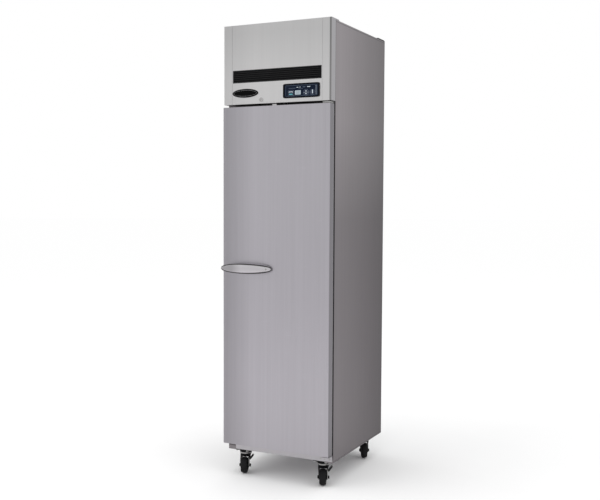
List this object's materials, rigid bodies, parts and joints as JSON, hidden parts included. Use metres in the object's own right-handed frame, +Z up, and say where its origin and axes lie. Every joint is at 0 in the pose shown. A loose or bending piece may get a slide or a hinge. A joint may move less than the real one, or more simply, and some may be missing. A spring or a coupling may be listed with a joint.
{
  "type": "reach-in refrigerator",
  "caption": "Slim upright one-door reach-in refrigerator with a top-mounted condensing unit behind a hinged header panel, a leaf-shaped pull handle, a wire-shelved interior and swivel casters",
  "frame": {"origin": "on the floor, under the middle of the overall box", "axes": "+Z up, the door and header face -Y, +X is to the right seen from the front, where the door's hinges are"},
  "size_m": [0.547, 0.7006, 2.105],
  "materials": {
    "brushed": "satin",
    "side": "satin",
    "header": "satin",
    "galv": "matte",
    "liner": "satin",
    "foam": "matte",
    "plastic_dark": "matte",
    "plastic_grey": "matte",
    "gasket": "matte",
    "bright": "polished",
    "zinc": "satin",
    "gloss_black": "gloss",
    "navy": "gloss",
    "teal": "gloss",
    "key": "gloss",
    "lamp": "gloss",
    "wire": "gloss",
    "compressor": "gloss",
    "copper": "satin",
    "tyre": "matte"
  },
  "bodies": {
    "cabinet": {"side_panel_left": "side", "side_panel_right": "side", "back_panel": "galv", "base_pan": "galv", "foam_insulation": "foam", "inner_liner": "liner", "breaker_frame": "plastic_grey", "roof_deck": "galv", "header_frame": "header", "rear_corner_caps": "plastic_dark", "top_hinge": "zinc", "bottom_hinge": "zinc", "hinge_screws": "zinc", "reed_switch": "plastic_dark", "shelf_pilasters": "zinc", "shelf_clips": "zinc", "wire_shelves": "wire", "interior_light": "lamp", "evaporator_housing": "liner", "evaporator_unit": "zinc", "condensate_drain": "plastic_grey", "unit_tray": "galv", "compressor": "compressor", "compressor_mounts": "gasket", "condenser_coil": "galv", "condenser_shroud": "plastic_grey", "condenser_fan_motor": "plastic_dark", "refrigerant_lines": "copper", "terminal_box": "galv", "caster_plates": "plastic_dark", "caster_bolts": "zinc"},
    "door": {"door_skin": "brushed", "door_foam": "foam", "door_liner": "liner", "door_gasket": "gasket", "door_handle": "bright", "lock_keeper": "bright", "hinge_bushings": "plastic_grey"},
    "header_flap": {"header_panel": "header", "louvre_grille": "plastic_dark", "controller_case": "navy", "badge_plate": "gloss_black", "lock_barrel": "bright"},
    "lock": {"lock_lever": "bright"},
    "key_mode": {"key_mode": "teal"},
    "key_up": {"key_up": "key"},
    "key_down": {"key_down": "key"},
    "key_power": {"key_power": "key"},
    "condenser_fan": {"condenser_fan": "zinc"},
    "evaporator_fan": {"evaporator_fan": "plastic_dark"},
    "fork_front_left": {"fork_front_left": "zinc"},
    "wheel_front_left": {"wheel_front_left": "tyre"},
    "fork_front_right": {"fork_front_right": "zinc"},
    "wheel_front_right": {"wheel_front_right": "tyre"},
    "fork_rear_left": {"fork_rear_left": "zinc"},
    "wheel_rear_left": {"wheel_rear_left": "tyre"},
    "fork_rear_right": {"fork_rear_right": "zinc"},
    "wheel_rear_right": {"wheel_rear_right": "tyre"},
    "brake_front_left": {"brake_front_left": "plastic_dark"},
    "brake_front_right": {"brake_front_right": "plastic_dark"}
  },
  "joints": [
    {"name": "door_hinge", "type": "hinge", "parent": "cabinet", "child": "door", "pos_m": [0.2575, -0.28665, 0.941], "axis": [0, 0, 1], "range_deg": [0, 110]},
    {"name": "header_flap_hinge", "type": "hinge", "parent": "cabinet", "child": "header_flap", "pos_m": [0, -0.28785, 2.093], "axis": [-1, 0, 0], "range_deg": [0, 80]},
    {"name": "lock_turn", "type": "hinge", "parent": "header_flap", "child": "lock", "pos_m": [-0.0775, -0.28315, 1.7605], "axis": [0, 1, 0], "range_deg": [0, 87]},
    {"name": "key_mode_press", "type": "slide", "parent": "header_flap", "child": "key_mode", "axis": [0, 1, 0], "range_m": [0, 0.0008], "stiffness_N_per_m": 300},
    {"name": "key_up_press", "type": "slide", "parent": "header_flap", "child": "key_up", "axis": [0, 1, 0], "range_m": [0, 0.0008], "stiffness_N_per_m": 300},
    {"name": "key_down_press", "type": "slide", "parent": "header_flap", "child": "key_down", "axis": [0, 1, 0], "range_m": [0, 0.0008], "stiffness_N_per_m": 300},
    {"name": "key_power_press", "type": "slide", "parent": "header_flap", "child": "key_power", "axis": [0, 1, 0], "range_m": [0, 0.0008], "stiffness_N_per_m": 300},
    {"name": "condenser_fan_spin", "type": "hinge", "parent": "cabinet", "child": "condenser_fan", "pos_m": [0.095, -0.14565, 1.89], "axis": [0, 1, 0], "continuous": true},
    {"name": "evaporator_fan_spin", "type": "hinge", "parent": "cabinet", "child": "evaporator_fan", "pos_m": [0, 0.06035, 1.622], "axis": [0, 1, 0], "continuous": true},
    {"name": "swivel_front_left", "type": "hinge", "parent": "cabinet", "child": "fork_front_left", "pos_m": [-0.206, -0.20965, 0.09], "axis": [0, 0, 1], "continuous": true},
    {"name": "roll_front_left", "type": "hinge", "parent": "fork_front_left", "child": "wheel_front_left", "pos_m": [-0.1942, -0.24207, 0.038], "axis": [0.9397, 0.342, 0], "continuous": true},
    {"name": "brake_left", "type": "hinge", "parent": "fork_front_left", "child": "brake_front_left", "pos_m": [-0.1942, -0.24207, 0.038], "axis": [0.9397, 0.342, 0], "range_deg": [0, 18]},
    {"name": "swivel_front_right", "type": "hinge", "parent": "cabinet", "child": "fork_front_right", "pos_m": [0.206, -0.20965, 0.09], "axis": [0, 0, 1], "continuous": true},
    {"name": "roll_front_right", "type": "hinge", "parent": "fork_front_right", "child": "wheel_front_right", "pos_m": [0.2178, -0.24207, 0.038], "axis": [0.9397, 0.342, 0], "continuous": true},
    {"name": "brake_right", "type": "hinge", "parent": "fork_front_right", "child": "brake_front_right", "pos_m": [0.2178, -0.24207, 0.038], "axis": [0.9397, 0.342, 0], "range_deg": [0, 18]},
    {"name": "swivel_rear_left", "type": "hinge", "parent": "cabinet", "child": "fork_rear_left", "pos_m": [-0.206, 0.28135, 0.09], "axis": [0, 0, 1], "continuous": true},
    {"name": "roll_rear_left", "type": "hinge", "parent": "fork_rear_left", "child": "wheel_rear_left", "pos_m": [-0.19088, 0.25034, 0.038], "axis": [0.8988, 0.4384, 0], "continuous": true},
    {"name": "swivel_rear_right", "type": "hinge", "parent": "cabinet", "child": "fork_rear_right", "pos_m": [0.206, 0.28135, 0.09], "axis": [0, 0, 1], "continuous": true},
    {"name": "roll_rear_right", "type": "hinge", "parent": "fork_rear_right", "child": "wheel_rear_right", "pos_m": [0.22112, 0.25034, 0.038], "axis": [0.8988, 0.4384, 0], "continuous": true}
  ]
}
